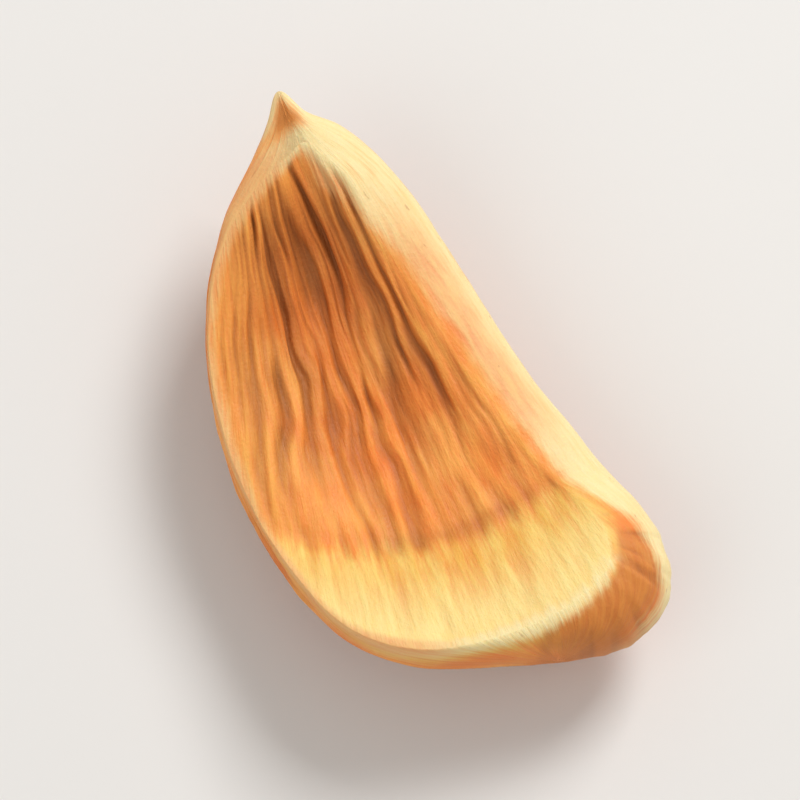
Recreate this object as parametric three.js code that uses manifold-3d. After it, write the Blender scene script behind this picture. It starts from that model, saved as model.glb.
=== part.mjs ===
// An almond kernel that shared its shell with a twin. It lies on its rounded back, with the long
// hollow that the twin pressed into it facing up.
//
// Millimetres. +X runs along the kernel to its pointed end, +Y to its fuller side, and +Z up. The
// origin is the middle of the kernel's box, on the surface that it rests on.
import * as THREE from "three";
import { mergeVertices } from "three/addons/utils/BufferGeometryUtils.js";
import Module from "manifold-3d";

// Driving dimensions.
const LENGTH = 24.6;
const HALF_WIDTH = 7.15;
const FLOOR_HEIGHT = 3.9; // of the hollow's lowest point, so also the kernel's thickness there
const REST_CUT = 0.15; // how much of the rounded back the resting spot takes off

// The rim, from the beak down the fuller side, round the blunt end and back along the straighter
// side. `along` and `across` are shares of LENGTH and HALF_WIDTH. `side` is the height of the
// kernel's widest line there, `crest` the height of the hollow's edge, and `inset` how far inside
// the widest line that edge lies.
const RIM = [
  { along: 1.0, across: 0.0, side: 6.9, crest: 7.15, inset: 2.3 },
  { along: 0.962, across: 0.12, side: 6.6, crest: 7.0, inset: 1.6 },
  { along: 0.915, across: 0.29, side: 6.1, crest: 6.7, inset: 0.9 },
  { along: 0.83, across: 0.6, side: 5.2, crest: 6.0, inset: 0.4 },
  { along: 0.68, across: 0.88, side: 4.4, crest: 5.4, inset: 0.2 },
  { along: 0.48, across: 1.0, side: 4.1, crest: 5.1, inset: 0.2 },
  { along: 0.3, across: 0.94, side: 4.2, crest: 5.1, inset: 0.2 },
  { along: 0.165, across: 0.77, side: 4.6, crest: 5.2, inset: 0.2 },
  { along: 0.09, across: 0.48, side: 4.8, crest: 5.3, inset: 0.25 },
  { along: 0.045, across: 0.1, side: 4.6, crest: 5.3, inset: 0.65 },
  { along: 0.012, across: -0.28, side: 4.3, crest: 5.3, inset: 1.45 },
  { along: 0.0, across: -0.62, side: 3.9, crest: 5.3, inset: 2.3 },
  { along: 0.045, across: -0.91, side: 3.8, crest: 5.3, inset: 2.5 },
  { along: 0.14, across: -1.0, side: 4.0, crest: 5.3, inset: 2.4 },
  { along: 0.28, across: -0.86, side: 4.1, crest: 5.4, inset: 2.1 },
  { along: 0.47, across: -0.68, side: 4.1, crest: 5.5, inset: 2.1 },
  { along: 0.67, across: -0.56, side: 4.4, crest: 5.8, inset: 2.2 },
  { along: 0.83, across: -0.43, side: 5.1, crest: 6.4, inset: 2.4 },
  { along: 0.922, across: -0.25, side: 6.0, crest: 6.85, inset: 2.3 },
  { along: 0.96, across: -0.1, side: 6.4, crest: 7.0, inset: 2.1 },
];

// Where the back is lowest and where the hollow is deepest, as shares, and the round middle of
// each: inward from the rim, the outline turns into an ellipse of this length and width.
const KEEL = { along: 0.41, across: 0.035, roundAlong: 0.44, roundAcross: 0.8 };
const HOLLOW = { along: 0.56, across: 0.24, roundAlong: 0.34, roundAcross: 0.5 };
const HOLLOW_SPINE = { from: 0.28, to: 0.72, across: -0.05 }; // the line that its edge keeps off
const BACK_MIDDLE = { rise: 4.2, power: 1.2 };
const HOLLOW_RISE = 1.6;
const TIP_POWER = 1.6; // of the back's curve under the point; 1 is elliptical, 2 a straight slope
const CREST_ROUNDING = 0.4; // share of the hollow's depth that rounds its edge over

// The ramp that closes the hollow at the blunt end. It rises from a crease that is nearest the
// blunt end at `along` and `across`, and bows toward the point by `bow` times the square of the
// millimetres to either side. `slope` is in degrees above the bowl's own.
const RAMP = { along: 0.25, across: -0.14, bow: 0.05, slope: 14 };
const CREASE_ROUNDING = 0.4;

// Mesh density: columns to each rim point, and rings down the hollow, over the rim and under the
// back.
const COLUMNS_PER_POINT = 4;
const HOLLOW_RINGS = 14;
const RIM_RINGS = 5;
const BACK_RINGS = 15;

const { clamp, degToRad, lerp, smoothstep } = THREE.MathUtils;

const onKernel = ({ along, across }, height) =>
  new THREE.Vector3(along * LENGTH, across * HALF_WIDTH, height);

const widestLine = new THREE.CatmullRomCurve3(
  RIM.map((point) => onKernel(point, point.side)),
  true,
);
const crestLine = new THREE.CatmullRomCurve3(RIM.map(crestPoint), true);

// The point of the hollow's edge that belongs to a point of the rim, straight in from it towards
// the nearest part of the hollow's spine.
function crestPoint(point) {
  const widest = onKernel(point, point.crest);
  const along = clamp(point.along, HOLLOW_SPINE.from, HOLLOW_SPINE.to);
  const inward = onKernel({ along, across: HOLLOW_SPINE.across }, 0).sub(widest);
  return widest.add(inward.setZ(0).setLength(point.inset));
}

// The higher of two heights, rounded where they cross within `blend` of each other.
function smoothMax(a, b, blend) {
  const share = clamp(0.5 + (0.5 * (a - b)) / blend, 0, 1);
  return lerp(b, a, share) + blend * share * (1 - share);
}

// The point in plan at a share of the way out from a middle to the rim's point at `turn`.
function towards(middle, edge, turn, share) {
  const angle = turn * 2 * Math.PI;
  const along = middle.roundAlong * Math.cos(angle);
  const across = middle.roundAcross * Math.sin(angle);
  const out = onKernel({ along, across }, 0);
  const centre = onKernel(middle, 0);
  out.lerp(edge.clone().sub(centre).setZ(0), share ** 2);
  return centre.addScaledVector(out, share);
}

// How far the ramp at the blunt end rises above the hollow's bowl.
function rampRise({ x, y }) {
  const crease = RAMP.along * LENGTH + RAMP.bow * (y - RAMP.across * HALF_WIDTH) ** 2;
  return smoothMax(crease - x, 0, CREASE_ROUNDING) * Math.tan(degToRad(RAMP.slope));
}

// A point of the hollow, from its lowest point, 0, to the rim's crest, 1.
function hollowPoint(turn, share) {
  const crest = crestLine.getPoint(turn);
  const rounded = -smoothMax(-(1 + CREST_ROUNDING) * share ** 2, -1, CREST_ROUNDING);
  const point = towards(HOLLOW, crest, turn, share);
  const rise = lerp(HOLLOW_RISE, crest.z - FLOOR_HEIGHT, share ** 2);
  return point.setZ(FLOOR_HEIGHT + rise * rounded + rampRise(point));
}

// A point of the rim's outer side, from its crest, 0, to the widest line, 1.
function sidePoint(turn, share) {
  const crest = hollowPoint(turn, 1);
  const widest = widestLine.getPoint(turn);
  const quarter = (share * Math.PI) / 2;
  const point = crest.clone().lerp(widest, Math.sin(quarter));
  return point.setZ(lerp(widest.z, crest.z, Math.cos(quarter)));
}

// A point of the back, from the widest line, 0, to the keel, 1.
function backPoint(turn, share) {
  const widest = widestLine.getPoint(turn);
  const quarter = (share * Math.PI) / 2;
  const reach = Math.cos(quarter);
  const rimPower = lerp(1, TIP_POWER, smoothstep(widest.x, KEEL.along * LENGTH, LENGTH));
  const power = lerp(BACK_MIDDLE.power, rimPower, reach ** 2);
  const height = lerp(BACK_MIDDLE.rise, widest.z, reach ** 2);
  return towards(KEEL, widest, turn, reach).setZ(height * (1 - Math.sin(quarter) ** power));
}

// A point of the skin: `turn` goes once round from the beak, and `ring` from the hollow's lowest
// point over the rim to the keel.
function skinPoint(turn, ring) {
  if (ring <= HOLLOW_RINGS) {
    return hollowPoint(turn, Math.sin(((ring / HOLLOW_RINGS) * Math.PI) / 2));
  }
  if (ring <= HOLLOW_RINGS + RIM_RINGS) {
    return sidePoint(turn, (ring - HOLLOW_RINGS) / RIM_RINGS);
  }
  return backPoint(turn, (ring - HOLLOW_RINGS - RIM_RINGS) / BACK_RINGS);
}

// A sphere whose points are moved to the kernel's skin: its top is the hollow, and its bottom the
// keel.
function skinGeometry() {
  const columns = RIM.length * COLUMNS_PER_POINT;
  const rings = HOLLOW_RINGS + RIM_RINGS + BACK_RINGS;
  const sphere = new THREE.SphereGeometry(1, columns, rings);
  const position = sphere.attributes.position;
  for (let i = 0; i < position.count; i++) {
    const turn = (i % (columns + 1)) / columns;
    const ring = Math.floor(i / (columns + 1));
    position.setXYZ(i, ...skinPoint(turn % 1, ring));
  }
  return sphere;
}

const wasm = await Module();
wasm.setup();

// A closed geometry as a solid.
function solidOf(geometry) {
  const bare = new THREE.BufferGeometry();
  bare.setAttribute("position", geometry.attributes.position);
  bare.setIndex(geometry.index);
  const merged = mergeVertices(bare, 1e-4);
  return new wasm.Manifold(
    new wasm.Mesh({
      numProp: 3,
      vertProperties: new Float32Array(merged.attributes.position.array),
      triVerts: new Uint32Array(merged.index.array),
    }),
  );
}

function geometryOf(solid) {
  const mesh = solid.getMesh();
  const geometry = new THREE.BufferGeometry();
  geometry.setAttribute("position", new THREE.BufferAttribute(mesh.vertProperties, 3));
  geometry.setIndex(new THREE.BufferAttribute(mesh.triVerts, 1));
  geometry.computeVertexNormals();
  return geometry;
}

// The kernel with its resting spot cut flat, moved so that the spot is at height 0.
function kernelGeometry() {
  const under = new THREE.BoxGeometry(2 * LENGTH, 4 * HALF_WIDTH, 2);
  under.translate(LENGTH / 2, 0, REST_CUT - 1);
  const kernel = geometryOf(solidOf(skinGeometry()).subtract(solidOf(under)));
  kernel.computeBoundingBox();
  const middle = kernel.boundingBox.getCenter(new THREE.Vector3());
  return kernel.translate(-middle.x, -middle.y, -REST_CUT);
}

const skin = new THREE.MeshStandardMaterial({ color: 0xc97a3d, roughness: 0.62, metalness: 0 });

const kernel = new THREE.Mesh(kernelGeometry(), skin);
kernel.name = "almond_kernel";

const almond = new THREE.Group();
almond.add(kernel);

export default almond;
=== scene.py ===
"""Finished look of a shelled almond kernel that dried with a hollow, boat-like face.

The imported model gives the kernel's place and box. The fine kernel built here has the same form,
with the folds of its dried skin, and is shown in its stead. Lengths are in millimetres up to the
point where the mesh is made, and in metres from there on.
"""

import logging
import math
from collections.abc import Callable
from dataclasses import dataclass
from enum import Enum
from functools import partial

import bpy
import numpy as np
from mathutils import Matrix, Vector


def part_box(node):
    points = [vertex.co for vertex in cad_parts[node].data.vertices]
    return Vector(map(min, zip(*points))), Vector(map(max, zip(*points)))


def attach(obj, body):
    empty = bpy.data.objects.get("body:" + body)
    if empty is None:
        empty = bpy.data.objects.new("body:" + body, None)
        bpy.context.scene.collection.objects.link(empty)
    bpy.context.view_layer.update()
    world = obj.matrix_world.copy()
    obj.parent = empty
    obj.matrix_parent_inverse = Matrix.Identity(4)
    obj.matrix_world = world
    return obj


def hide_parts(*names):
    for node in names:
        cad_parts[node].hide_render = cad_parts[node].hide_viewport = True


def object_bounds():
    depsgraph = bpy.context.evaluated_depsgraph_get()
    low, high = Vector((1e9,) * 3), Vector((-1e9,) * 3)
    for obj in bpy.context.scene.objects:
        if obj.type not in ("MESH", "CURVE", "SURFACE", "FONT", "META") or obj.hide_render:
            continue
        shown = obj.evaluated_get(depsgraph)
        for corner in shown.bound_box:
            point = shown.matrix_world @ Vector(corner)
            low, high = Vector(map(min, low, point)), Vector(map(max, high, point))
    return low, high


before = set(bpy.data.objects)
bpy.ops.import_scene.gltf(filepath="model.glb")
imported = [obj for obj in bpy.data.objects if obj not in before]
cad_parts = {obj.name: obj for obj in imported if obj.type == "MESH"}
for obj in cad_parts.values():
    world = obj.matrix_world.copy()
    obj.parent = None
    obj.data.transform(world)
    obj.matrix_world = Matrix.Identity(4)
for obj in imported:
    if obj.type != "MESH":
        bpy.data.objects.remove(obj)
CAD_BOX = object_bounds()

LOG = logging.getLogger("almond")
MM = 0.001
NODE = "almond_kernel"
SEED = 11
DIGITS = 9  # that grid places are rounded to, so that equal ones compare equal
TINY = 1e-12  # keeps a length of nothing from dividing by 0

# Settings that several shader nodes share.
TIMES = {"operation": "MULTIPLY"}
PLUS = {"operation": "MULTIPLY_ADD"}
EASED = {"interpolation_type": "SMOOTHSTEP"}
COLOURS = {"data_type": "RGBA"}


def linear(colour: str) -> tuple[float, float, float, float]:
    """Turns an sRGB colour into the linear values that a shader reads.

    Args:
        colour: six hex digits, such as "c97a3d".

    Returns:
        Red, green, blue and an alpha of 1.
    """
    channels = []
    for start in (0, 2, 4):
        value = int(colour[start : start + 2], 16) / 255
        channels.append(value / 12.92 if value <= 0.04045 else ((value + 0.055) / 1.055) ** 2.4)
    return (*channels, 1.0)


def smoothstep(value: np.ndarray, low: float, high: float) -> np.ndarray:
    """Gives a share that rises smoothly from 0 at low to 1 at high.

    Args:
        value: where to read it.
        low: where it leaves 0.
        high: where it reaches 1.

    Returns:
        The share for each value.
    """
    share = np.clip((value - low) / (high - low), 0, 1)
    return share * share * (3 - 2 * share)


def bell(distance: np.ndarray, width: float) -> np.ndarray:
    """Gives 1 at no distance, falling off as a bell curve of the given width."""
    return np.exp(-((distance / width) ** 2))


def higher(a: np.ndarray, b: np.ndarray, blend: float) -> np.ndarray:
    """Gives the higher of two heights, rounded where they cross.

    Args:
        a: one height.
        b: the other height.
        blend: how near to each other they start to round.

    Returns:
        The rounded height.
    """
    share = np.clip(0.5 + 0.5 * (a - b) / blend, 0, 1)
    return b + (a - b) * share + blend * share * (1 - share)


def mix(a: np.ndarray, b: np.ndarray, share: np.ndarray) -> np.ndarray:
    """Gives a at a share of 0 and b at a share of 1."""
    return a + (b - a) * share


class Side(Enum):
    """The two faces of the kernel, which meet at its widest line."""

    FACE = 1
    BACK = -1


@dataclass(frozen=True)
class RimPoint:
    """A point of the rim.

    `along` and `across` are shares of the kernel's length and half width. The rest are millimetres: the
    heights of the widest line and of the hollow's edge, how far inside the widest line that edge lies, and
    how far beyond that edge the painted pale highlight ends and begins.
    """

    along: float
    across: float
    side: float
    crest: float
    inset: float
    fade_edge: float
    begin: float


@dataclass
class Patch:
    """One face of the kernel, as a square grid of points laid over a disc.

    `turn` is how far round each point is, from the beak at 0, and `reach` how far out. `inward`
    and `outward` are distances over the skin from the hollow's edge, in millimetres.
    """

    side: Side
    turn: np.ndarray
    reach: np.ndarray
    points: np.ndarray
    inward: np.ndarray
    outward: np.ndarray


class GrowthNoise:
    """Smooth gradient noise in three directions, the same on every run."""

    CELLS: int = 256
    GAIN: float = 1.7

    def __init__(self, seed: int) -> None:
        """Draws the noise's slopes.

        Args:
            seed: which noise this is.
        """
        source = np.random.default_rng(seed)
        self._order = np.tile(source.permutation(self.CELLS), 3)
        slopes = source.normal(size=(self.CELLS, 3))
        self._slopes = slopes / np.linalg.norm(slopes, axis=1)[:, None]

    def at(self, x: np.ndarray, y: np.ndarray, z: np.ndarray) -> np.ndarray:
        """Reads the noise.

        Args:
            x: first coordinate, in noise cells.
            y: second coordinate.
            z: third coordinate.

        Returns:
            Values around 0, mostly between -1 and 1.
        """
        place = np.stack(np.broadcast_arrays(x, y, z), axis=-1)
        cell = np.floor(place).astype(int)
        part = place - cell
        ease = part**3 * (part * (part * 6 - 15) + 10)
        total = np.zeros(place.shape[:-1])
        for corner in np.ndindex(2, 2, 2):
            i, j, k = np.moveaxis((cell + corner) % self.CELLS, -1, 0)
            slope = self._slopes[self._order[self._order[self._order[i] + j] + k]]
            weight = np.prod(np.where(corner, ease, 1 - ease), axis=-1)
            total += weight * np.sum(slope * (part - corner), axis=-1)
        return total * self.GAIN

    def rough(self, points: np.ndarray, coarse: float, fine: float, layer: float = 0.0) -> np.ndarray:
        """Reads two sizes of noise at points, the finer one at half strength.

        Args:
            points: x, y and z in the last axis.
            coarse: size of the larger cells.
            fine: size of the smaller cells.
            layer: how far the finer one is shifted up, in its cells.

        Returns:
            Values around 0, mostly between -1.5 and 1.5.
        """
        x, y, z = np.moveaxis(points, -1, 0)
        broad = self.at(x / coarse, y / coarse, z / coarse)
        return broad + 0.5 * self.at(x / fine, y / fine, z / fine + layer)


class ClosedLine:
    """A smooth closed line through points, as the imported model's rim has it."""

    def __init__(self, points: np.ndarray) -> None:
        """Keeps the points.

        Args:
            points: one row of x, y and z for each.
        """
        self._points = points

    def at(self, turn: np.ndarray) -> np.ndarray:
        """Gives points of the line.

        Args:
            turn: how far round, from 0 to 1.

        Returns:
            x, y and z for each, in the last axis.
        """
        count = len(self._points)
        spot = (np.asarray(turn) % 1) * count
        index = np.floor(spot).astype(int) % count
        part = (spot - np.floor(spot))[..., None]
        before, start, end, after = (self._points[(index + step) % count] for step in (-1, 0, 1, 2))
        gap_before, gap, gap_after = (
            np.sqrt(np.linalg.norm(b - a, axis=-1))[..., None]
            for a, b in ((before, start), (start, end), (end, after))
        )
        leave = (start - before) / gap_before - (end - before) / (gap_before + gap) + (end - start) / gap
        arrive = (end - start) / gap - (after - start) / (gap + gap_after) + (after - end) / gap_after
        leave, arrive = leave * gap, arrive * gap
        square = 3 * (end - start) - 2 * leave - arrive
        cube = 2 * (start - end) + leave + arrive
        return start + part * (leave + part * (square + part * cube))


@dataclass(frozen=True)
class KernelForm:
    """The kernel's smooth form, in millimetres from its blunt end, before its skin's folds.

    Pairs are shares of the length and the half width. `crest_reach` is how far out on the face's
    disc the hollow's edge lies, and `side_bulge` how much longer the rim's rounded side is than a
    straight line. The hollow's grain fans out from a point `fan_apex` beyond the beak. The back's
    grain is measured no nearer the blunt end than the share `blunt_hold`, blended over
    `blunt_blend`, and over no less than `least_width`.
    """

    length: float = 24.6
    half_width: float = 7.15
    floor: float = 3.9
    rest_cut: float = 0.15
    keel: tuple[float, float] = (0.41, 0.035)
    keel_round: tuple[float, float] = (0.44, 0.8)
    keel_rise: float = 4.2
    keel_power: float = 1.2
    tip_power: float = 1.6
    hollow: tuple[float, float] = (0.56, 0.24)
    hollow_round: tuple[float, float] = (0.34, 0.5)
    hollow_rise: float = 1.6
    crest_rounding: float = 0.4
    crest_reach: float = 0.8
    spine: tuple[float, float] = (0.28, 0.72)
    spine_across: float = -0.05
    crease: tuple[float, float] = (0.25, -0.14)
    crease_bow: float = 0.05
    crease_rounding: float = 0.25
    ramp_slope: float = math.radians(14)
    side_bulge: float = 1.08
    fan_apex: float = 9.0
    blunt_hold: float = 0.1
    blunt_blend: float = 2.0
    least_width: float = 0.35
    grain_depth: float = 1.1
    line_samples: int = 4000
    rim: tuple[RimPoint, ...] = (
        RimPoint(1.0, 0.0, 6.9, 7.15, 2.3, 0.9, -0.4),
        RimPoint(0.962, 0.12, 6.6, 7.0, 1.6, 0.6, -0.4),
        RimPoint(0.915, 0.29, 6.1, 6.7, 0.9, 0.8, -0.4),
        RimPoint(0.83, 0.6, 5.2, 6.0, 0.4, 0.5, -0.35),
        RimPoint(0.68, 0.88, 4.4, 5.4, 0.2, 0.4, -0.2),
        RimPoint(0.48, 1.0, 4.1, 5.1, 0.2, 0.35, -0.12),
        RimPoint(0.3, 0.94, 4.2, 5.1, 0.2, 0.35, -0.12),
        RimPoint(0.165, 0.77, 4.6, 5.2, 0.2, 0.35, -0.12),
        RimPoint(0.09, 0.48, 4.8, 5.3, 0.25, 0.35, -0.2),
        RimPoint(0.045, 0.1, 4.6, 5.3, 0.65, 0.35, -0.2),
        RimPoint(0.012, -0.28, 4.3, 5.3, 1.45, 0.35, -0.2),
        RimPoint(0.0, -0.62, 3.9, 5.3, 2.3, 0.3, -0.1),
        RimPoint(0.045, -0.91, 3.8, 5.3, 2.5, 0.3, -0.1),
        RimPoint(0.14, -1.0, 4.0, 5.3, 2.4, 2.9, 1.0),
        RimPoint(0.28, -0.86, 4.1, 5.4, 2.1, 2.8, 0.35),
        RimPoint(0.47, -0.68, 4.1, 5.5, 2.1, 2.7, 0.35),
        RimPoint(0.67, -0.56, 4.4, 5.8, 2.2, 2.7, 0.3),
        RimPoint(0.83, -0.43, 5.1, 6.4, 2.4, 2.8, -0.1),
        RimPoint(0.922, -0.25, 6.0, 6.85, 2.3, 2.7, -0.7),
        RimPoint(0.96, -0.1, 6.4, 7.0, 2.1, 2.6, -0.7),
    )

    def _on_kernel(self, along: np.ndarray, across: np.ndarray, height: np.ndarray) -> np.ndarray:
        """Gives a point from its shares of the length and half width, and its height."""
        parts = np.broadcast_arrays(along * self.length, across * self.half_width, height)
        return np.stack(parts, axis=-1).astype(float)

    def widest_line(self) -> ClosedLine:
        """Gives the line where the face and the back meet."""
        along, across, side = np.array([(p.along, p.across, p.side) for p in self.rim]).T
        return ClosedLine(self._on_kernel(along, across, side))

    def crest_line(self) -> ClosedLine:
        """Gives the edge of the hollow.

        Returns:
            The line, straight in from the rim's points towards the nearest part of the spine.
        """
        along, across, crest, inset = np.array(
            [(p.along, p.across, p.crest, p.inset) for p in self.rim]
        ).T
        points = self._on_kernel(along, across, crest)
        nearest = self._on_kernel(np.clip(along, *self.spine), self.spine_across, 0.0)
        inward = nearest[:, :2] - points[:, :2]
        points[:, :2] += inward / np.linalg.norm(inward, axis=1)[:, None] * inset[:, None]
        return ClosedLine(points)

    def side_width(self, turn: np.ndarray) -> np.ndarray:
        """Gives the distance over the skin from the hollow's edge to the widest line."""
        straight = np.linalg.norm(self.widest_line().at(turn) - self.crest_line().at(turn), axis=-1)
        return self.side_bulge * straight

    def highlight_band(self, turn: np.ndarray) -> tuple[np.ndarray, np.ndarray]:
        """Gives how far beyond the hollow's edge the painted pale highlight lies.

        Args:
            turn: how far round each point is.

        Returns:
            Where it ends and where it begins, in millimetres.
        """
        spots = np.arange(len(self.rim) + 1) / len(self.rim)
        points = [*self.rim, self.rim[0]]
        fade_edge = np.interp(turn % 1, spots, [p.fade_edge for p in points])
        return fade_edge, np.interp(turn % 1, spots, [p.begin for p in points])

    def _towards(
        self,
        middle: tuple[float, float],
        roundness: tuple[float, float],
        edge: np.ndarray,
        turn: np.ndarray,
        share: np.ndarray,
    ) -> np.ndarray:
        """Gives points in plan between a middle and the rim, on contours that grow rounder inward.

        Args:
            middle: the middle, as shares.
            roundness: length and width of the ellipse that the contours turn into, as shares.
            edge: the rim's points.
            turn: how far round each point is.
            share: how far out each point is.

        Returns:
            The points, at height 0.
        """
        angle = turn * 2 * np.pi
        out = self._on_kernel(roundness[0] * np.cos(angle), roundness[1] * np.sin(angle), 0.0)
        centre = self._on_kernel(*middle, 0.0)
        out = mix(out, edge * (1, 1, 0) - centre, share[..., None] ** 2)
        return centre + out * share[..., None]

    def past_crease(self, points: np.ndarray) -> np.ndarray:
        """Gives how far towards the blunt end each point lies from the ramp's crease."""
        aside = points[..., 1] - self.crease[1] * self.half_width
        return self.crease[0] * self.length + self.crease_bow * aside**2 - points[..., 0]

    def hollow_points(self, turn: np.ndarray, share: np.ndarray) -> np.ndarray:
        """Gives points of the hollow.

        Args:
            turn: how far round each point is.
            share: how far each lies from its lowest point, 0, to the rim's crest, 1.

        Returns:
            The points.
        """
        crest = self.crest_line().at(turn)
        rounded = -higher(-(1 + self.crest_rounding) * share**2, -np.ones_like(share), self.crest_rounding)
        points = self._towards(self.hollow, self.hollow_round, crest, turn, share)
        rise = mix(self.hollow_rise, crest[..., 2] - self.floor, share**2)
        ramp = higher(self.past_crease(points), np.zeros_like(share), self.crease_rounding)
        points[..., 2] = self.floor + rise * rounded + ramp * math.tan(self.ramp_slope)
        return points

    def side_points(self, turn: np.ndarray, share: np.ndarray) -> np.ndarray:
        """Gives points of the rim's outer side.

        Args:
            turn: how far round each point is.
            share: how far each lies from its crest, 0, to the widest line, 1.

        Returns:
            The points.
        """
        crest = self.hollow_points(turn, np.ones_like(share))
        widest = self.widest_line().at(turn)
        quarter = share * np.pi / 2
        points = mix(crest, widest, np.sin(quarter)[..., None])
        points[..., 2] = mix(widest[..., 2], crest[..., 2], np.cos(quarter))
        return points

    def back_points(self, turn: np.ndarray, share: np.ndarray) -> np.ndarray:
        """Gives points of the back.

        Args:
            turn: how far round each point is.
            share: how far each lies from the widest line, 0, to the keel, 1.

        Returns:
            The points.
        """
        widest = self.widest_line().at(turn)
        quarter = share * np.pi / 2
        reach = np.cos(quarter)
        tip = smoothstep(widest[..., 0], self.keel[0] * self.length, self.length)
        power = mix(self.keel_power, mix(1.0, self.tip_power, tip), reach**2)
        height = mix(self.keel_rise, widest[..., 2], reach**2)
        points = self._towards(self.keel, self.keel_round, widest, turn, reach)
        points[..., 2] = height * (1 - np.sin(quarter) ** power)
        return points

    def patch(self, side: Side, turn: np.ndarray, reach: np.ndarray) -> Patch:
        """Shapes one face of the kernel.

        Args:
            side: which face.
            turn: how far round each point is.
            reach: how far out each point is, from 0 in the middle to 1 at the widest line.

        Returns:
            The face.
        """
        if side is Side.BACK:
            middle = np.array(self.keel) * (self.length, self.half_width)
            span = np.linalg.norm(self.widest_line().at(turn)[..., :2] - middle, axis=-1)
            outward = self.side_width(turn) + (1 - reach) * span
            return Patch(side, turn, reach, self.back_points(turn, 1 - reach), 0 * reach, outward)
        share = np.clip(reach / self.crest_reach, 0, 1)
        down = np.clip((reach - self.crest_reach) / (1 - self.crest_reach), 0, 1).round(DIGITS)
        hollow, beyond = self.hollow_points(turn, share), self.side_points(turn, down)
        points = np.where((down > 0)[..., None], beyond, hollow)
        middle = np.array(self.hollow) * (self.length, self.half_width)
        span = np.linalg.norm(self.crest_line().at(turn)[..., :2] - middle, axis=-1)
        return Patch(side, turn, reach, points, (1 - share) * span, down * self.side_width(turn))

    def grain(self, patch: Patch) -> tuple[np.ndarray, np.ndarray]:
        """Gives each point's place in the skin's grain, which runs from the blunt end to the beak.

        Args:
            patch: the face.

        Returns:
            Place across from -1 to 1, along in millimetres, and between rim and middle: once laid
            as a flat fan, as in the hollow, and once round the back.
        """
        line = self.widest_line().at(np.linspace(0, 1, self.line_samples, endpoint=False))
        blunt = int(np.argmin(line[:, 0]))
        fuller, straighter = line[: blunt + 1][::-1], line[blunt:]
        x, y, z = np.moveaxis(patch.points, -1, 0)
        held = higher(x, np.full_like(x, self.blunt_hold * self.length), self.blunt_blend)
        high, low = (np.interp(held, edge[:, 0], edge[:, 1]) for edge in (fuller, straighter))
        level = sum(np.interp(held, edge[:, 0], edge[:, 2]) for edge in (fuller, straighter)) / 2
        aside = (y - (high + low) / 2) / np.maximum((high - low) / 2, self.least_width)
        around = np.arctan2(aside, 1 - z / level) * 2 / np.pi
        apex = self.length + self.fan_apex
        fan = y / self.half_width * (apex - self.length / 2) / (apex - x)
        depth = patch.side.value * (1 - patch.reach) * self.grain_depth
        return np.stack([fan, x, depth], axis=-1), np.stack([around, x, depth], axis=-1)


@dataclass(frozen=True)
class Wave:
    """A soft wave in the skin: its size across and along the grain, its height and its own layer."""

    across: float
    along: float
    height: float
    layer: float


@dataclass(frozen=True)
class GrooveSet:
    """Grooves of one kind: spacing, length and depth, how much painted shade darkens them, and which rows
    they take.
    """

    spacing: float
    length: float
    depth: float
    groove_shade: float
    layer: float
    offset: float = 0.0


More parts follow.
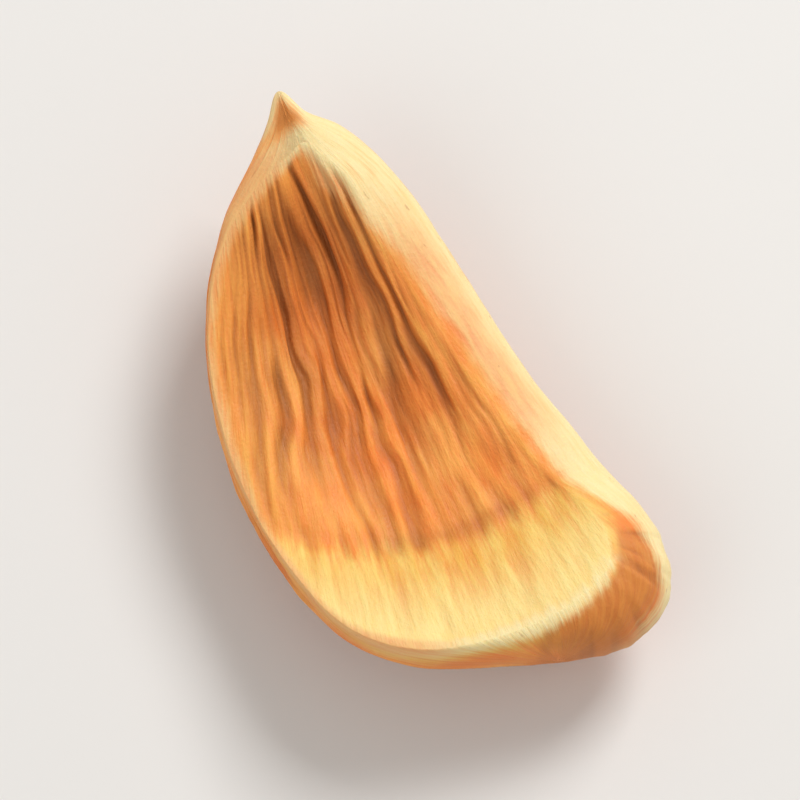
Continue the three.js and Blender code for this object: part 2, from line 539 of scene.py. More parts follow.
@dataclass(frozen=True)
class SkinFolds:
    """The lengthwise folds that a kernel's skin gets as it dries, in millimetres.

    Grooves lie in rows, and each comes and goes along its row. It strays from the row's middle by
    up to `sway` rows, fills between `widths` of the row, and `flank` rounds its walls. `come` and
    `swell_out` are the noise values between which it appears and grows wide.
    """

    noise: GrowthNoise
    bends: tuple[Wave, ...] = (Wave(3.4, 7.5, 0.45, 11), Wave(1.1, 1.9, 0.2, 23))
    swells: tuple[Wave, ...] = (Wave(2.6, 6.5, 0.12, 31), Wave(0.8, 1.5, 0.066, 47))
    grooves: tuple[GrooveSet, ...] = (
        GrooveSet(0.82, 5.5, 0.2, 0.9, 3.3),
        GrooveSet(1.1234, 5.5, 0.12, 0.6, 91.7, 7.5),
        GrooveSet(0.42, 3.0, 0.07, 0.35, 37.1),
    )
    come: tuple[float, float] = (-0.45, 0.2)
    swell_out: tuple[float, float] = (-0.3, 0.7)
    widths: tuple[float, float] = (0.4, 0.7)
    flank: float = 0.8
    sway: float = 0.24
    sway_pace: float = 0.6
    sway_layer: float = 50
    row_steps: tuple[float, float] = (0.61, 0.43)
    depth_pace: float = 0.3

    def _waves(
        self, kinds: tuple[Wave, ...], place: np.ndarray, along: np.ndarray, face: np.ndarray
    ) -> np.ndarray:
        """Adds up waves.

        Args:
            kinds: the waves.
            place: place across, in millimetres.
            along: place along.
            face: place between the rim and the middle.

        Returns:
            Their height at each point.
        """
        return sum(
            kind.height * self.noise.at(place / kind.across, along / kind.along, face + kind.layer)
            for kind in kinds
        )

    def _grooves(
        self, kind: GrooveSet, place: np.ndarray, along: np.ndarray, face: np.ndarray
    ) -> np.ndarray:
        """Draws side by side grooves that each come and go along their length.

        Args:
            kind: which grooves.
            place: place across, in millimetres.
            along: place along.
            face: place between the rim and the middle, which tells the faces apart.

        Returns:
            The share of a groove's depth at each point.
        """
        place = place / kind.spacing + kind.offset
        run = along / kind.length
        deep = face * self.depth_pace
        row = np.floor(place)
        row_step, sway_step = self.row_steps
        come = self.noise.at(row * row_step + kind.layer, run, deep)
        stray = self.noise.at(row * sway_step + kind.layer + self.sway_layer, run * self.sway_pace, deep)
        off = 2 * np.abs(place - row - 0.5 - self.sway * stray)
        width = mix(*self.widths, smoothstep(come, *self.swell_out))
        return smoothstep(come, *self.come) * np.clip(1 - off / width, 0, 1) ** self.flank

    def relief(
        self, across: np.ndarray, along: np.ndarray, face: np.ndarray, half_width: float
    ) -> tuple[np.ndarray, np.ndarray]:
        """Gives the folds' height, and how much of a groove each point lies in, which is how much painted
        shade it gets.

        Args:
            across: place across the kernel, from -1 to 1.
            along: place along it.
            face: place between the rim and the middle, below 0 on the back.
            half_width: half of the kernel's width.

        Returns:
            Heights in millimetres, and shares from 0 to 1.
        """
        place = across * half_width
        bent = place + self._waves(self.bends, place, along, face)
        height = self._waves(self.swells, bent, along, face)
        groove_shade = np.zeros_like(height)
        for kind in self.grooves:
            share = self._grooves(kind, bent, along, face)
            height = height - kind.depth * share
            groove_shade = groove_shade + kind.groove_shade * share
        return height, np.clip(groove_shade, 0, 1)


@dataclass(frozen=True)
class SkinMarks:
    """Where the skin is scarred, where its ramp turns pale yellow, and where light and shade are painted into
    its colour.

    Every pair gives where a mark starts and where it is full, or the reverse. In `_turns` they are
    shares of the way round from the beak, in `_along` shares of the length, and otherwise
    millimetres, over the skin or from the middle line to the fuller side.
    """

    noise: GrowthNoise
    length: float
    fray_cells: tuple[float, float] = (1.9, 0.7)
    fray_layer: float = 9
    fray: float = 0.2
    turn_fray: float = 0.008
    frayed_bands: tuple[float, float] = (0.9, 2.0)
    softness: tuple[float, float] = (0.55, 0.15)
    outer_softness: float = 0.1
    crisp_turn: float = 0.39
    crisp_width: float = 0.2
    edge_widths: tuple[float, float] = (0.42, 0.8)
    edge_turns: tuple[float, float] = (0.59, 0.66)
    corner_turns: tuple[float, float] = (0.5, 0.62)
    cap_first_turns: tuple[float, float] = (0.46, 0.52)
    cap_last_turns: tuple[float, float] = (0.625, 0.675)
    cap_top: tuple[float, float] = (0.0, 0.5)
    cap_skirt: tuple[float, float] = (0.0, 1.8)
    cap_middle: tuple[float, float] = (4.4, -4.0)
    beak_length: float = 2.1
    beak_start: float = 1.0
    beak_across: tuple[float, float] = (-1.3, -0.5)
    beak_skirt: tuple[float, float] = (-0.1, 0.5)
    crease_shadow_shift: float = 0.2
    crease_shadow_width: float = 0.35
    crease_shadow_across: float = -0.5
    crease_shadow_reach: float = 3.0
    ramp: tuple[float, float] = (0.0, 0.8)
    golden: tuple[float, float] = (-0.9, 1.5)
    pale: tuple[float, float] = (0.8, 4.0)
    near: tuple[float, float] = (0.1, 0.9)
    painted_light_width: float = 1.6
    tip_along: tuple[float, float] = (0.4, 0.8)
    fuller: tuple[float, float] = (1.0, 3.5)
    fuller_lean: float = 1.5
    blush_from_along: tuple[float, float] = (0.25, 0.45)
    blush_to_along: tuple[float, float] = (0.66, 0.85)
    blush_band: tuple[float, float] = (0.7, 2.3)
    blush_inward: tuple[float, float] = (0.0, 0.6)
    shade_inward: tuple[float, float] = (0.0, 2.0)
    shade_outward: tuple[float, float] = (0.5, 3.0)
    side_shade: float = 0.35
    fold_along: tuple[float, float] = (0.3, 0.55)
    fold_inward: tuple[float, float] = (0.0, 0.6)
    fold_fuller: tuple[float, float] = (2.5, 6.0)
    fold_below: tuple[float, float] = (0.0, 1.5)
    fold_outward: tuple[float, float] = (0.2, 1.2)
    fold_sides: tuple[float, float] = (1.0, 3.0)
    fold_start_along: tuple[float, float] = (0.0, 0.12)
    blunt_folds: float = 0.6
    ramp_folds: float = 0.2
    fuller_folds: float = 0.7
    side_folds: float = 0.8
    cap_cover: float = 0.9
    cap_fade: float = 0.8
    beak_edge: float = 0.9
    beak_scar: float = 0.7
    least_painted_light: float = 0.5

    def _rim(self, patch: Patch, form: KernelForm, ragged: np.ndarray) -> tuple[np.ndarray, np.ndarray]:
        """Gives the painted pale highlight along the hollow's edge.

        Args:
            patch: the face.
            form: the kernel's form.
            ragged: the noise that frays edges.

        Returns:
            Its share at each point, and the distance beyond the hollow's edge, frayed.
        """
        fade_edge, begin = form.highlight_band(patch.turn)
        fray = self.fray * ragged * smoothstep(fade_edge, *self.frayed_bands)
        beyond = patch.outward - patch.inward + fray
        soft = mix(*self.softness, bell(patch.turn - self.crisp_turn, self.crisp_width))
        rim = smoothstep((beyond - begin) / soft, -1.0, 1.0)
        ended = smoothstep((beyond - fade_edge) / (soft + self.outer_softness), -1.0, 1.0)
        return rim * (1 - ended), beyond

    def _cap(self, patch: Patch, below: np.ndarray, ragged: np.ndarray) -> np.ndarray:
        """Gives the brown scar that caps the blunt end, with painted shade where that end turns from the
        light.

        Args:
            patch: the face.
            below: distance over the skin past the widest line.
            ragged: the noise that frays edges.

        Returns:
            Its share at each point.
        """
        frayed = patch.turn + self.turn_fray * ragged
        cap = smoothstep(frayed, *self.cap_first_turns) * (1 - smoothstep(frayed, *self.cap_last_turns))
        return cap * smoothstep(patch.outward, *self.cap_top) * (1 - smoothstep(below, *self.cap_skirt))

    def _beak(self, patch: Patch, below: np.ndarray) -> np.ndarray:
        """Gives the beak's brownish outer side.

        Args:
            patch: the face.
            below: distance over the skin past the widest line.

        Returns:
            Its share at each point.
        """
        x, y = patch.points[..., 0], patch.points[..., 1]
        start = self.length - self.beak_length
        beak = smoothstep(x, start, start + self.beak_start) * smoothstep(y, *self.beak_across)
        return beak * (patch.outward > 0) * (1 - smoothstep(below, *self.beak_skirt))

    def _blush(self, patch: Patch, fuller: np.ndarray) -> np.ndarray:
        """Gives where the painted rim highlight is warm tan rather than cream.

        Args:
            patch: the face.
            fuller: share of the fuller side.

        Returns:
            The share at each point.
        """
        along = patch.points[..., 0] / self.length
        middle = smoothstep(along, *self.blush_from_along) * (1 - smoothstep(along, *self.blush_to_along))
        blush = np.maximum(middle * (1 - smoothstep(patch.outward, *self.blush_band)), fuller)
        return np.maximum(blush, smoothstep(patch.inward, *self.blush_inward))

    def _relief(self, patch: Patch, below: np.ndarray, ramp: np.ndarray) -> np.ndarray:
        """Gives how strongly the skin folds.

        Args:
            patch: the face.
            below: distance over the skin past the widest line.
            ramp: share of the ramp at the blunt end.

        Returns:
            The share at each point.
        """
        along, y = patch.points[..., 0] / self.length, patch.points[..., 1]
        hollow = mix(self.blunt_folds, 1.0, smoothstep(along, *self.fold_along))
        hollow = hollow * smoothstep(patch.inward, *self.fold_inward) * mix(1, self.ramp_folds, ramp)
        hollow = hollow * mix(1.0, self.fuller_folds, smoothstep(y, *self.fold_fuller))
        straighter = smoothstep(below, *self.fold_below)
        side = mix(straighter, smoothstep(patch.outward, *self.fold_outward), smoothstep(y, *self.fold_sides))
        side = side * smoothstep(along, *self.fold_start_along)
        return np.where(patch.outward == 0, hollow, self.side_folds * side)

    def read(self, patch: Patch, form: KernelForm) -> dict[str, np.ndarray]:
        """Reads every mark, as shares from 0 to 1.

        Args:
            patch: the face.
            form: the kernel's form.

        Returns:
            The marks by name, with "relief", how strongly the skin folds, and "veins", where the
            scar's veins show.
        """
        x, y = patch.points[..., 0], patch.points[..., 1]
        ragged = self.noise.rough(patch.points, *self.fray_cells, self.fray_layer)
        inside = (patch.outward == 0).astype(float)
        back = 0.0 if patch.side is Side.FACE else 1.0
        below = patch.outward - form.side_width(patch.turn)
        gap = np.linalg.norm((patch.points - form.widest_line().at(patch.turn))[..., :2], axis=-1)
        edge_width = mix(*self.edge_widths, smoothstep(patch.turn, *self.edge_turns))
        edge = bell(mix(gap, below, back), edge_width) * (1 - inside)

        rim, beyond = self._rim(patch, form, ragged)
        cap, beak = self._cap(patch, below, ragged), self._beak(patch, below)
        corner = smoothstep(patch.turn, *self.corner_turns)
        rim = rim * (1 - beak) * (1 - self.cap_cover * cap * corner)
        # a thin painted highlight line along the widest line at the beak and at the blunt end's corner
        rim = rim + edge * np.maximum(self.beak_edge * beak, cap * corner)
        faded = cap * (1 - self.cap_fade * edge * corner)

        past = form.past_crease(patch.points) + self.fray * ragged
        # painted shadow along the foot of the ramp, where its crease lies
        crease = bell(past + self.crease_shadow_shift, self.crease_shadow_width) * inside
        tip = smoothstep(x / self.length, *self.tip_along)
        fuller = smoothstep(y + self.fuller_lean * tip, *self.fuller)
        near = (1 - smoothstep(patch.outward, *self.near)) * (1 - back)
        side_shade = self.side_shade * smoothstep(patch.outward, *self.shade_outward)
        return {
            "rim": np.clip(rim, 0, 1),
            "blush": self._blush(patch, fuller),
            # the ramp's paler yellow skin, with painted light where it faces the lamp
            "golden": smoothstep(past, *self.golden) * near,
            # painted highlight, strongest towards the ramp's ridge
            "pale": smoothstep(past, *self.pale) * inside,
            # painted light on the hollow's inner slopes next to the rim, strongest on the fuller side
            "glow": bell(beyond, self.painted_light_width) * near * mix(self.least_painted_light, 1.0, fuller),
            "scar": np.maximum(faded, self.beak_scar * beak * (1 - edge)),
            "shade": smoothstep(patch.inward, *self.shade_inward) * tip + side_shade,
            "crease": crease * bell(y - self.crease_shadow_across, self.crease_shadow_reach),
            "relief": self._relief(patch, below, smoothstep(past, *self.ramp) * inside),
            "veins": cap,
        }


def add_node(
    tree: bpy.types.NodeTree, kind: str, settings: dict | None = None, out: int = 0, **inputs: object
) -> object:
    """Adds a node with its settings and links.

    Args:
        tree: where to add it.
        kind: the node's type, without ShaderNode.
        settings: the node's own settings.
        out: which of its outputs is wanted.
        inputs: values or sockets for its inputs, by name with _ for a space, or _N for the input
            at that place.

    Returns:
        The output socket that is wanted, or the node where it has none.
    """
    node = tree.nodes.new("ShaderNode" + kind)
    for name, value in (settings or {}).items():
        setattr(node, name, value)
    for name, value in inputs.items():
        socket = node.inputs[int(name[1:]) if name[0] == "_" else name.replace("_", " ")]
        if isinstance(value, bpy.types.NodeSocket):
            tree.links.new(value, socket)
        else:
            socket.default_value = value
    return node.outputs[out] if node.outputs else node


@dataclass(frozen=True)
class SeedCoat:
    """Testa, the dry papery skin of a seed: thin brown tissue that shrank onto the kernel.

    It is matte, with the faintest silky sheen along its fibres. Its colour carries painted shade where it
    folded in, a painted pale-cream highlight on every edge and painted light on the hollow's inner slopes.
    Pairs in `_mm` are a pattern's width across the grain and its length along it. The `fray` fields break up
    the edges of the painted highlight, the ramp's yellow and the blunt end's scar along the fibres.
    """

    light: str = "ffac54"
    middle: str = "f68d39"
    deep: str = "b8601f"
    groove: str = "8f4513"
    dark: str = "693510"
    painted_light_honey: str = "f4a94e"
    # the ramp's yellows: its paler skin with painted light, and the painted highlight towards its ridge
    golden: str = "f8d173"
    golden_deep: str = "eca94a"
    pale: str = "fde79a"
    scar: str = "d38038"
    # colours of the painted highlight on the edges: cream, and warm tan where blushed
    rim: str = "f7e2a5"
    blush: str = "f0b676"
    fleck: str = "a8693a"
    roughness: float = 0.52
    rough_spread: tuple[float, float] = (-0.08, 0.12)
    ior: float = 1.45
    specular: float = 0.4
    sheen: float = 0.06
    sheen_roughness: float = 0.4
    translucency: float = 0.08
    translucency_mm: float = 0.6
    translucency_tint: tuple[float, float, float] = (1.0, 0.45, 0.2)
    fibre_mm: tuple[float, float] = (0.16, 1.8)
    streak_mm: tuple[float, float] = (0.6, 5.5)
    fleck_mm: tuple[float, float] = (0.3, 0.8)
    mottle_mm: float = 3.2
    scurf_mm: float = 0.14
    bump_mm: float = 0.09
    bump_strength: float = 0.8
    scurf_share: float = 0.35
    octaves: float = 4.0
    scurf_octaves: float = 2.0
    strand_roughness: float = 0.65
    fibre_range: tuple[float, float] = (0.3, 0.7)
    tone_range: tuple[float, float] = (0.36, 0.64)
    tone_share: float = 0.5
    fray_range: tuple[float, float] = (0.05, 0.95)
    fray_strength: float = 0.9
    fray_shift: float = -0.95
    fray_limit: float = 5.0

    def _patterns(self, add: Callable) -> dict[str, bpy.types.NodeSocket]:
        """Adds the noises that the skin's small pattern is drawn from.

        Args:
            add: adds a node.

        Returns:
            The noises by name.
        """
        grain = add("Attribute", {"attribute_name": "grain"}, 1)
        place = add("TexCoord", None, 3)
        sizes = {"fibre": self.fibre_mm, "streak": self.streak_mm, "fleck": self.fleck_mm}
        found = {}
        for name, (width, length) in sizes.items():
            laid = add("VectorMath", TIMES, _0=grain, _1=(1 / width, 1 / length, 1.0))
            found[name] = add(
                "TexNoise", Vector=laid, Scale=1.0, Detail=self.octaves, Roughness=self.strand_roughness
            )
        mottle_scale, scurf_scale = (1 / (size * MM) for size in (self.mottle_mm, self.scurf_mm))
        found["mottle"] = add("TexNoise", Vector=place, Scale=mottle_scale, Detail=self.octaves)
        found["scurf"] = add("TexNoise", Vector=place, Scale=scurf_scale, Detail=self.scurf_octaves)
        return found

    def _colour(self, add: Callable, noise: dict[str, bpy.types.NodeSocket]) -> bpy.types.NodeSocket:
        """Lays the skin's colours over one another, painted light and shade among them.

        Args:
            add: adds a node.
            noise: the skin's noises.

        Returns:
            The colour.
        """
        names = ("groove", "rim", "blush", "golden", "pale", "glow", "scar", "shade", "crease")
        mark = {name: add("Attribute", {"attribute_name": name}, 2) for name in names}
        ranges = {
            "blotchy": ("mottle", 0.34, 0.66),
            "streaky": ("streak", 0.46, 0.7),
            "pale_streak": ("streak", 0.66, 0.34),
            "flecked": ("fleck", 0.64, 0.74),
        }
        drawn = {
            name: add("MapRange", EASED, Value=noise[kind], From_Min=low, From_Max=high)
            for name, (kind, low, high) in ranges.items()
        }
        ragged = add("Math", PLUS, _0=noise["fibre"], _1=self.fray_strength, _2=self.fray_shift)
        ragged = add("Math", PLUS, _0=noise["mottle"], _1=1.0, _2=ragged)
        frayed = {}
        # frays the edges of the painted highlight, the ramp's yellow and the scar along the fibres
        for name in ("rim", "golden", "scar"):
            low, high = self.fray_range
            fade_edge = add("Math", {"operation": "ADD"}, _0=mark[name], _1=ragged)
            fade_edge = add("MapRange", EASED, Value=fade_edge, From_Min=low, From_Max=high)
            kept = add("Math", {**TIMES, "use_clamp": True}, _0=mark[name], _1=self.fray_limit)
            frayed[name] = add("Math", TIMES, _0=fade_edge, _1=kept)
        rim = add("Mix", COLOURS, 2, _0=mark["blush"], _6=linear(self.rim), _7=linear(self.blush))
        # groove colour: painted shade in the grooves, darker still where the hollow's painted shade lies
        folded = add("Mix", COLOURS, 2, _0=mark["shade"], _6=linear(self.groove), _7=linear(self.dark))
        streaked = add("Math", TIMES, _0=frayed["golden"], _1=drawn["pale_streak"])
        flecked = add("Math", TIMES, _0=drawn["flecked"], _1=mark["rim"])
        layers = (  # where each lies, how strong it is there, and its colour
            (drawn["blotchy"], 1.0, linear(self.light)),
            (drawn["streaky"], 0.3, linear(self.deep)),
            (mark["shade"], 0.55, linear(self.deep)),
            # painted light on the hollow's inner slopes
            (mark["glow"], 0.6, linear(self.painted_light_honey)),
            # the ramp's paler yellow skin, brightened with painted light
            (frayed["golden"], 1.0, linear(self.golden_deep)),
            (streaked, 0.9, linear(self.golden)),
            # painted highlight towards the ramp's ridge
            (mark["pale"], 0.7, linear(self.pale)),
            # painted shadow along the ramp's crease
            (mark["crease"], 0.45, linear(self.deep)),
            # the blunt end's scar, darkened with painted shade where that end turns from the light
            (frayed["scar"], 0.9, linear(self.scar)),
            # painted shade in the grooves
            (mark["groove"], 0.66, folded),
            # painted pale highlight on the edges
            (frayed["rim"], 0.95, rim),
            (flecked, 0.45, linear(self.fleck)),
        )
        colour = linear(self.middle)
        for share, strength, tint in layers:
            amount = add("Math", TIMES, _0=share, _1=strength)
            colour = add("Mix", COLOURS, 2, _0=amount, _6=colour, _7=tint)
        return colour

    def build(self) -> bpy.types.Material:
        """Makes the material.

        Returns:
            The finished material.
        """
        material = bpy.data.materials.new("almond_testa")
        material.use_nodes = True
        material.node_tree.nodes.clear()
        add = partial(add_node, material.node_tree)
        noise = self._patterns(add)
        colour = self._colour(add, noise)

        low, high = self.fibre_range
        darkest, lightest = self.tone_range
        fibrous = add("MapRange", EASED, Value=noise["fibre"], From_Min=low, From_Max=high)
        tone = add("MapRange", Value=fibrous, To_Min=darkest, To_Max=lightest)
        overlay = {**COLOURS, "blend_type": "OVERLAY"}
        colour = add("Mix", overlay, 2, _0=self.tone_share, _6=colour, _7=tone)

        bumps = add("Math", PLUS, _0=noise["scurf"], _1=self.scurf_share, _2=noise["fibre"])
        bump = add("Bump", Strength=self.bump_strength, Distance=self.bump_mm * MM, Height=bumps)
        least, most = (self.roughness + change for change in self.rough_spread)
        rough = add("MapRange", Value=noise["fibre"], From_Min=low, From_Max=high, To_Min=least, To_Max=most)
        skin = add(
            "BsdfPrincipled", Base_Color=colour, Roughness=rough, Normal=bump, IOR=self.ior,
            Specular_IOR_Level=self.specular, Sheen_Weight=self.sheen,
            Sheen_Roughness=self.sheen_roughness, Subsurface_Weight=self.translucency,
            Subsurface_Scale=self.translucency_mm * MM, Subsurface_Radius=self.translucency_tint,
        )
        add("OutputMaterial", Surface=skin)
        return material


@dataclass
class Kernel:
    """The almond kernel: its form, the folds of its skin, and the marks and painted light and shade that its
    skin carries.

    `steps` is how many quads each face has along a side. `grain_width` is the grain's width as a
    share of the kernel's, and `split` the jump that tells where the back's grain meets itself.
    Each of the `veins` has its noise cells in a radian, a cell's length outward and its layer.
    """

    form: KernelForm
    folds: SkinFolds
    marks: SkinMarks
    skin: SeedCoat
    steps: int = 220
    grain_width: float = 0.85
    split: float = 0.5
    groove_shade_gain: float = 1.15
    vein_depth: float = 0.06
    veins: tuple[tuple[float, float, float], ...] = ((5.5, 2.2, 5.0), (11, 1.2, 15.0))
    lump_height: float = 0.035
    lump_cells: tuple[float, float] = (2.3, 0.9)
    narrow_along: tuple[float, float] = (0.8, 0.97)
    beak_folds: float = 0.2
    flat_margin: float = 0.5
    uv_size: tuple[float, float] = (0.24, 0.48)
    uv_middles: tuple[tuple[float, float], ...] = ((0.25, 0.5), (0.75, 0.5))

    def _disc(self) -> tuple[np.ndarray, np.ndarray, np.ndarray]:
        """Lays a square grid out over a disc.

        Returns:
            How far round and how far out each point of the grid lies, and the grid's own two
            coordinates.
        """
        line = np.linspace(-1, 1, self.steps + 1)
        a, b = np.meshgrid(line, line, indexing="ij")
        reach = np.maximum(np.abs(a), np.abs(b)).round(DIGITS)
        safe_a = np.where(a == 0, 1.0, a)
        safe_b = np.where(b == 0, 1.0, b)
        angle = np.where(
            np.abs(a) >= np.abs(b),
            np.pi / 4 * b / safe_a + np.pi * (a < 0),
            np.pi / 2 - np.pi / 4 * a / safe_b + np.pi * (b < 0),
        )
        return (angle / (2 * np.pi)) % 1, reach, np.stack([a, b], axis=-1)

    def _quads(self) -> tuple[np.ndarray, np.ndarray]:
        """Numbers the corners of both faces' quads.

        Returns:
            Each quad's points, and for each its corners' places in the two grids laid end to end.
        """
        count = self.steps + 1
        grid = np.arange(count * count).reshape(count, count)
        quads = np.stack([grid[:-1, :-1], grid[1:, :-1], grid[1:, 1:], grid[:-1, 1:]], axis=-1)
        quads = quads.reshape(-1, 4)
        inner = count * count + np.arange((count - 2) ** 2)
        numbers = grid.copy()
        numbers[1:-1, 1:-1] = inner.reshape(count - 2, count - 2)
        lower = numbers.reshape(-1)[quads]
        corners = np.concatenate([quads, quads[:, ::-1] + count * count])
        return np.concatenate([quads, lower[:, ::-1]]), corners

    @staticmethod
    def _joined(upper: np.ndarray, lower: np.ndarray) -> np.ndarray:
        """Puts both faces' values in one list, with the widest line's only once."""
        width = upper.shape[2:]
        return np.concatenate([upper.reshape(-1, *width), lower[1:-1, 1:-1].reshape(-1, *width)])

    @staticmethod
    def _normals(points: np.ndarray, quads: np.ndarray) -> np.ndarray:
        """Gives each point's outward direction.

        Args:
            points: the points.
            quads: each quad's points.

        Returns:
            A direction of length 1 for each point.
        """
        a, b, c, d = (points[quads[:, corner]] for corner in range(4))
        facing = np.cross(c - a, d - b)
        total = np.zeros_like(points)
        for corner in range(4):
            np.add.at(total, quads[:, corner], facing)
        return total / np.maximum(np.linalg.norm(total, axis=1), TINY)[:, None]

    def _fibres(
        self, fan: np.ndarray, around: np.ndarray, outward: np.ndarray, corners: np.ndarray
    ) -> np.ndarray:
        """Gives the place in the grain at each quad's corners.

        A quad has the grain of the back, unless it lies in the hollow or where that grain's two
        ends meet.

        Args:
            fan: place in the flat fan, for both grids laid end to end.
            around: place in the back's grain, for the same.
            outward: distance beyond the hollow's edge, for the same.
            corners: each quad's corners in the two grids.

        Returns:
            The places, in millimetres, for each corner of each quad.
        """
        split = np.ptp(around[corners][..., 0], axis=1) > self.split
        flat = split | (outward[corners].max(axis=1) == 0)
        places = np.where(flat[:, None, None], fan[corners], around[corners])
        return places * (self.form.half_width * self.grain_width, 1, 1)

    def _veins(self, points: np.ndarray) -> np.ndarray:
        """Draws the short veins that spread from the scar at the blunt end.

        Args:
            points: the smooth form's points.

        Returns:
            Their height at each point, below 0 in a vein.
        """
        x, y = (points[:, axis] - self.marks.cap_middle[axis] for axis in (0, 1))
        angle, away = np.arctan2(y, -x), np.hypot(x, y)
        at = self.folds.noise.at
        broad, fine = (at(angle * turns, away / size, layer) for turns, size, layer in self.veins)
        return broad + 0.5 * fine

    def _raised(self, points: np.ndarray, quads: np.ndarray, lift: np.ndarray) -> np.ndarray:
        """Raises the skin's relief and sets the kernel on its flat spot, in the frame's place.

        Args:
            points: the smooth form's points, in millimetres.
            quads: each quad's points.
            lift: how far each point is raised.

        Returns:
            The points in their place, in millimetres.
        """
        low = smoothstep(points[:, 2], self.form.rest_cut, self.form.rest_cut + self.flat_margin)
        points = points + self._normals(points, quads) * (lift * low)[:, None]
        points[:, 2] = np.maximum(points[:, 2] - self.form.rest_cut, 0)
        lowest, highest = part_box(NODE)
        middle = (Vector(lowest) + Vector(highest)) / 2 / MM
        widest = self.form.widest_line().at(np.linspace(0, 1, self.form.line_samples))
        form_middle = (widest.min(axis=0) + widest.max(axis=0)) / 2
        points[:, :2] += np.array(middle[:2]) - form_middle[:2]
        return points

    def build(self) -> bpy.types.Object:
        """Builds the kernel and dresses it.

        Returns:
            The kernel, in its place on the frame.
        """
        turn, reach, square = self._disc()
        face, back = (self.form.patch(side, turn, reach) for side in (Side.FACE, Side.BACK))
        points = self._joined(face.points, back.points)
        fan, around = (
            np.stack([self.form.grain(patch)[kind] for patch in (face, back)]) for kind in (0, 1)
        )
        upper_grain = np.where((face.outward > 0)[..., None], around[0], fan[0])
        grain = self._joined(upper_grain, around[1])
        face_marks, back_marks = (self.marks.read(patch, self.form) for patch in (face, back))
        marks = {name: self._joined(face_marks[name], back_marks[name]) for name in face_marks}
        quads, corners = self._quads()

        height, groove = self.folds.relief(*grain.T, self.form.half_width)
        narrow = 1 - smoothstep(points[:, 0] / self.form.length, *self.narrow_along)
        amount = marks.pop("relief") * mix(self.beak_folds, 1.0, narrow)
        cap = marks.pop("veins")
        veins = self._veins(points)
        # painted shade in the grooves and in the veins of the blunt end's cap
        groove_shade = groove * amount * self.groove_shade_gain + cap * np.clip(-veins, 0, 1)
        marks["groove"] = np.clip(groove_shade, 0, 1)
        lumps = self.folds.noise.rough(points, *self.lump_cells)
        lift = height * amount + self.vein_depth * cap * veins + self.lump_height * lumps
        points = self._raised(points, quads, lift)

        outward = np.stack([face.outward, back.outward]).ravel()
        fibres = self._fibres(fan.reshape(-1, 3), around.reshape(-1, 3), outward, corners)
        return self._dress(points * MM, quads, corners, square, fibres, marks)

    def _dress(
        self,
        points: np.ndarray,
        quads: np.ndarray,
        corners: np.ndarray,
        square: np.ndarray,
        fibres: np.ndarray,
        marks: dict[str, np.ndarray],
    ) -> bpy.types.Object:
        """Makes the mesh and gives it its skin.

        Args:
            points: the points, in metres.
            quads: each quad's points.
            corners: each quad's corners in the two grids laid end to end.
            square: the grid's own coordinates.
            fibres: place in the grain for each corner of each quad.
            marks: the skin's marks.

        Returns:
            The dressed kernel.
        """
        mesh = bpy.data.meshes.new("kernel_skin")
        mesh.from_pydata(points.tolist(), [], quads.tolist())
        mesh.polygons.foreach_set("use_smooth", np.ones(len(quads), bool))
        grain = mesh.attributes.new("grain", "FLOAT_VECTOR", "CORNER")
        grain.data.foreach_set("vector", fibres.ravel())
        for name, values in marks.items():
            mesh.attributes.new(name, "FLOAT", "POINT").data.foreach_set("value", values)
        flat = square.reshape(-1, 2) * self.uv_size
        laid = np.concatenate([flat + middle for middle in self.uv_middles])
        mesh.uv_layers.new(name="OFBake").data.foreach_set("uv", laid[corners.ravel()].ravel())
        mesh.materials.append(self.skin.build())
        mesh.validate()
        kernel = bpy.data.objects.new("kernel_skin", mesh)
        bpy.context.scene.collection.objects.link(kernel)
        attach(kernel, "root")
        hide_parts(NODE)
        return kernel


@dataclass(frozen=True)
class MatteCard:
    """Uncoated off-white card, smooth thick paper: flat and even, with almost no shine."""

    colour: str = "e9e7e4"
    roughness: float = 0.9
    specular: float = 0.1

    def build(self) -> bpy.types.Material:
        """Makes the material.

        Returns:
            The finished material.
        """
        material = bpy.data.materials.new("matte_card")
        material.use_nodes = True
        card = material.node_tree.nodes["Principled BSDF"]
        card.inputs["Base Color"].default_value = linear(self.colour)
        card.inputs["Roughness"].default_value = self.roughness
        card.inputs["Specular IOR Level"].default_value = self.specular
        return material


@dataclass(frozen=True)
class Lamp:
    """A square soft light that points at the kernel.

    `right`, `up` and `height` say where it stands as the camera sees it, and `size` and
    `distance` are metres.
    """

    name: str
    watts: float
    size: float
    right: float
    up: float
    height: float
    distance: float = 0.42


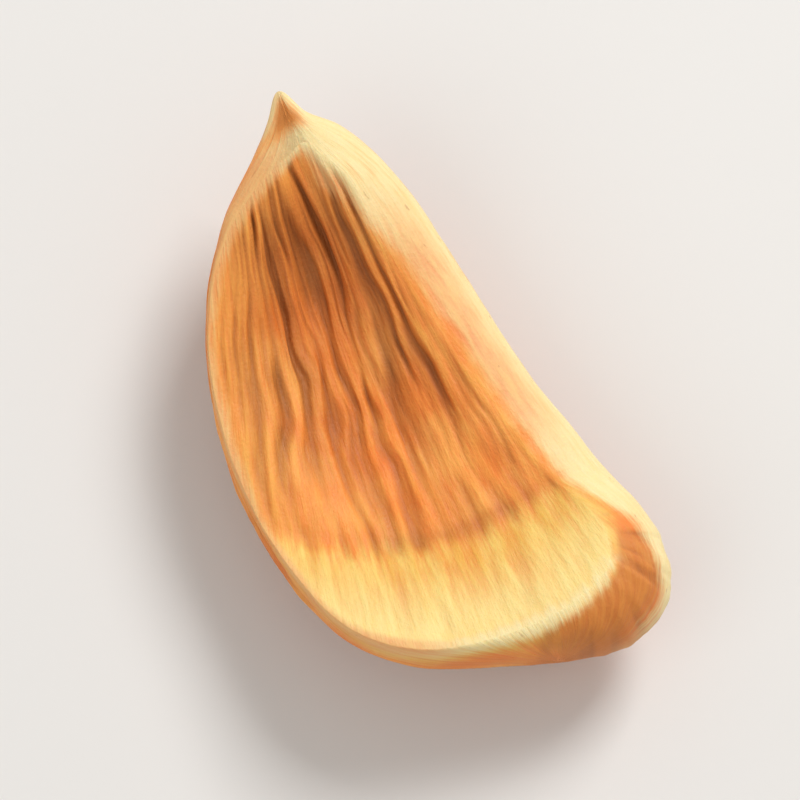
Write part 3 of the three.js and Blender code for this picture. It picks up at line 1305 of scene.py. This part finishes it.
@dataclass
class Studio:
    """A pale floor that sweeps up all round, soft lights and a camera above the kernel, in metres."""

    card: MatteCard
    floor_middle: float = 0.02
    floor_radius: float = 0.36
    floor_rings: int = 8
    floor_drop: float = 0.00001
    wall_radius: float = 0.62
    wall_height: float = 0.3
    wall_rings: int = 24
    around: int = 128
    azimuth: float = math.radians(-112.3)
    elevation: float = math.radians(76)
    lens: float = 300.0
    clip: tuple[float, float] = (0.002, 2.0)
    length_in_view: float = 0.8
    sky: float = 0.48
    sky_colour: str = "fdfbf8"
    key: Lamp = Lamp("key", 1.2, 0.16, 0.5, 0.75, 0.95)
    fill: Lamp = Lamp("fill", 0.25, 0.3, -0.8, -0.6, 1.0)

    def _profile(self) -> list[tuple[float, float]]:
        """Lays out the floor and the wall.

        Returns:
            How far out and how high each of their rings lies.
        """
        profile = [(r, 0.0) for r in np.linspace(self.floor_middle, self.floor_radius, self.floor_rings)]
        for step in range(1, self.wall_rings + 1):
            angle = step / self.wall_rings * math.pi / 2
            out = self.floor_radius + (self.wall_radius - self.floor_radius) * math.sin(angle)
            profile.append((out, self.wall_height * (1 - math.cos(angle))))
        return profile

    def build_floor(self) -> bpy.types.Object:
        """Builds the floor, which turns up into a wall far from the kernel.

        Returns:
            The floor.
        """
        profile = self._profile()
        points = [(0.0, 0.0, 0.0)]
        for out, height in profile:
            for step in range(self.around):
                angle = step / self.around * 2 * math.pi
                points.append((out * math.cos(angle), out * math.sin(angle), height))
        faces = [(0, 1 + step, 1 + (step + 1) % self.around) for step in range(self.around)]
        for ring in range(len(profile) - 1):
            start = 1 + ring * self.around
            for step in range(self.around):
                a, b = start + step, start + (step + 1) % self.around
                faces.append((a, a + self.around, b + self.around, b))
        mesh = bpy.data.meshes.new("floor")
        mesh.from_pydata(points, [], faces)
        mesh.polygons.foreach_set("use_smooth", [True] * len(faces))
        mesh.materials.append(self.card.build())
        floor = bpy.data.objects.new("floor", mesh)
        floor.location.z = -self.floor_drop
        bpy.context.scene.collection.objects.link(floor)
        return floor

    def add_light(self, lamp: Lamp) -> None:
        """Adds a light.

        Args:
            lamp: which light.
        """
        up = Vector((-math.sin(self.azimuth), math.cos(self.azimuth), 0))
        right = Vector((up.y, -up.x, 0))
        toward = up * lamp.up + right * lamp.right + Vector((0, 0, lamp.height))
        light = bpy.data.lights.new(lamp.name, "AREA")
        light.energy = lamp.watts
        light.size = lamp.size
        holder = bpy.data.objects.new(lamp.name, light)
        holder.location = toward.normalized() * lamp.distance
        holder.rotation_euler = toward.to_track_quat("Z", "Y").to_euler()
        bpy.context.scene.collection.objects.link(holder)

    def build_lights(self) -> None:
        """Adds the lights: a key beyond the beak, a soft fill behind, and an even sky."""
        self.add_light(self.key)
        self.add_light(self.fill)
        world = bpy.data.worlds.new("even_sky")
        world.use_nodes = True
        sky = world.node_tree.nodes["Background"]
        sky.inputs["Color"].default_value = linear(self.sky_colour)
        sky.inputs["Strength"].default_value = self.sky
        bpy.context.scene.world = world

    def build_camera(self) -> None:
        """Sets the camera up above the blunt end, looking down on the hollow."""
        lowest, highest = (Vector(corner) for corner in CAD_BOX)
        flat, height = math.cos(self.elevation), math.sin(self.elevation)
        back = Vector((math.sin(self.azimuth) * flat, -math.cos(self.azimuth) * flat, height))
        camera = bpy.data.cameras.new("camera")
        camera.lens = self.lens
        camera.clip_start, camera.clip_end = self.clip
        span = (highest.x - lowest.x) / self.length_in_view
        distance = span * self.lens / camera.sensor_width
        holder = bpy.data.objects.new("camera", camera)
        holder.location = (lowest + highest) / 2 + back * distance
        holder.rotation_euler = back.to_track_quat("Z", "Y").to_euler()
        bpy.context.scene.collection.objects.link(holder)
        bpy.context.scene.camera = holder

    def build(self) -> None:
        """Builds the whole studio."""
        self.build_floor()
        self.build_lights()
        self.build_camera()
        bpy.context.scene.view_settings.view_transform = "Standard"


def main() -> None:
    """Builds the kernel and its studio, and notes the kernel's quad count."""
    logging.basicConfig(level=logging.INFO, format="%(name)s: %(message)s")
    form = KernelForm()
    noise = GrowthNoise(SEED)
    kernel = Kernel(form, SkinFolds(noise), SkinMarks(noise, form.length), SeedCoat()).build()
    LOG.info("%s: %d quads", kernel.name, len(kernel.data.polygons))
    Studio(MatteCard()).build()
    LOG.info("studio built")


if __name__ == "__main__":
    main()
